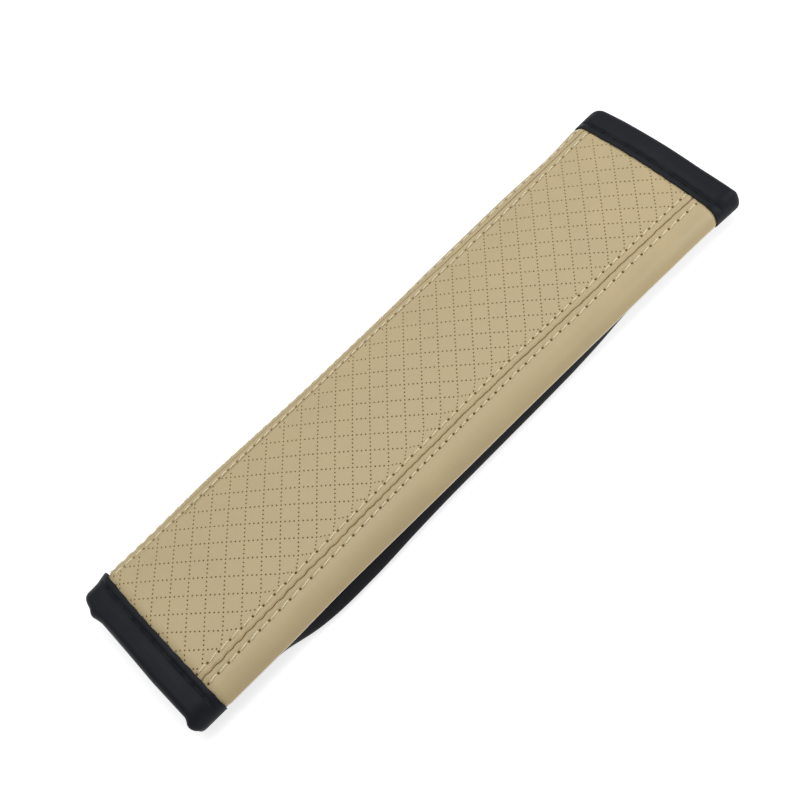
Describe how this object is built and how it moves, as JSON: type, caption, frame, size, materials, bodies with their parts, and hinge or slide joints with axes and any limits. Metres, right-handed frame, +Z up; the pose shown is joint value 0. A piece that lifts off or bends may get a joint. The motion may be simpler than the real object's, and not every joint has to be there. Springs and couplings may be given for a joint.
{
  "type": "seat belt shoulder pad",
  "caption": "Padded sewn sleeve that closes round a seat belt, with a diamond perforated front, plain sides, dark end bindings and a lapped back with a touch fastener.",
  "frame": {"origin": "under the middle of the pad, on the surface that its lapped back lies on", "axes": "+X along the length towards the wider end, +Y across towards the narrow side panel, +Z up through the perforated front"},
  "size_m": [0.25, 0.0652, 0.0157],
  "materials": {
    "perforated_leather": "fine grain, pinhole lines",
    "plain_leather": "fine grain, satin",
    "topstitch_thread": "twisted thread",
    "foam": "open cell foam sheet",
    "lining_cloth": "knitted lining cloth",
    "flap_cloth": "woven cloth with a soft face",
    "hook_tape": "hook side of a touch fastener",
    "loop_tape": "loop side of a touch fastener",
    "binding_leather": "smooth, folded and stitched",
    "binding_thread": "twisted thread"
  },
  "bodies": {
    "root": {"front_panel": "perforated_leather", "right_side_panel": "plain_leather", "left_side_panel": "plain_leather", "right_seam_side_stitches": "topstitch_thread", "right_seam_front_stitches": "topstitch_thread", "left_seam_front_stitches": "topstitch_thread", "left_seam_side_stitches": "topstitch_thread", "foam_core": "foam", "lining": "lining_cloth", "right_flap": "flap_cloth", "left_flap": "flap_cloth", "hook_strip": "hook_tape", "loop_strip": "loop_tape", "near_binding": "binding_leather", "far_binding": "binding_leather", "near_binding_stitches": "binding_thread", "far_binding_stitches": "binding_thread"}
  },
  "joints": []
}
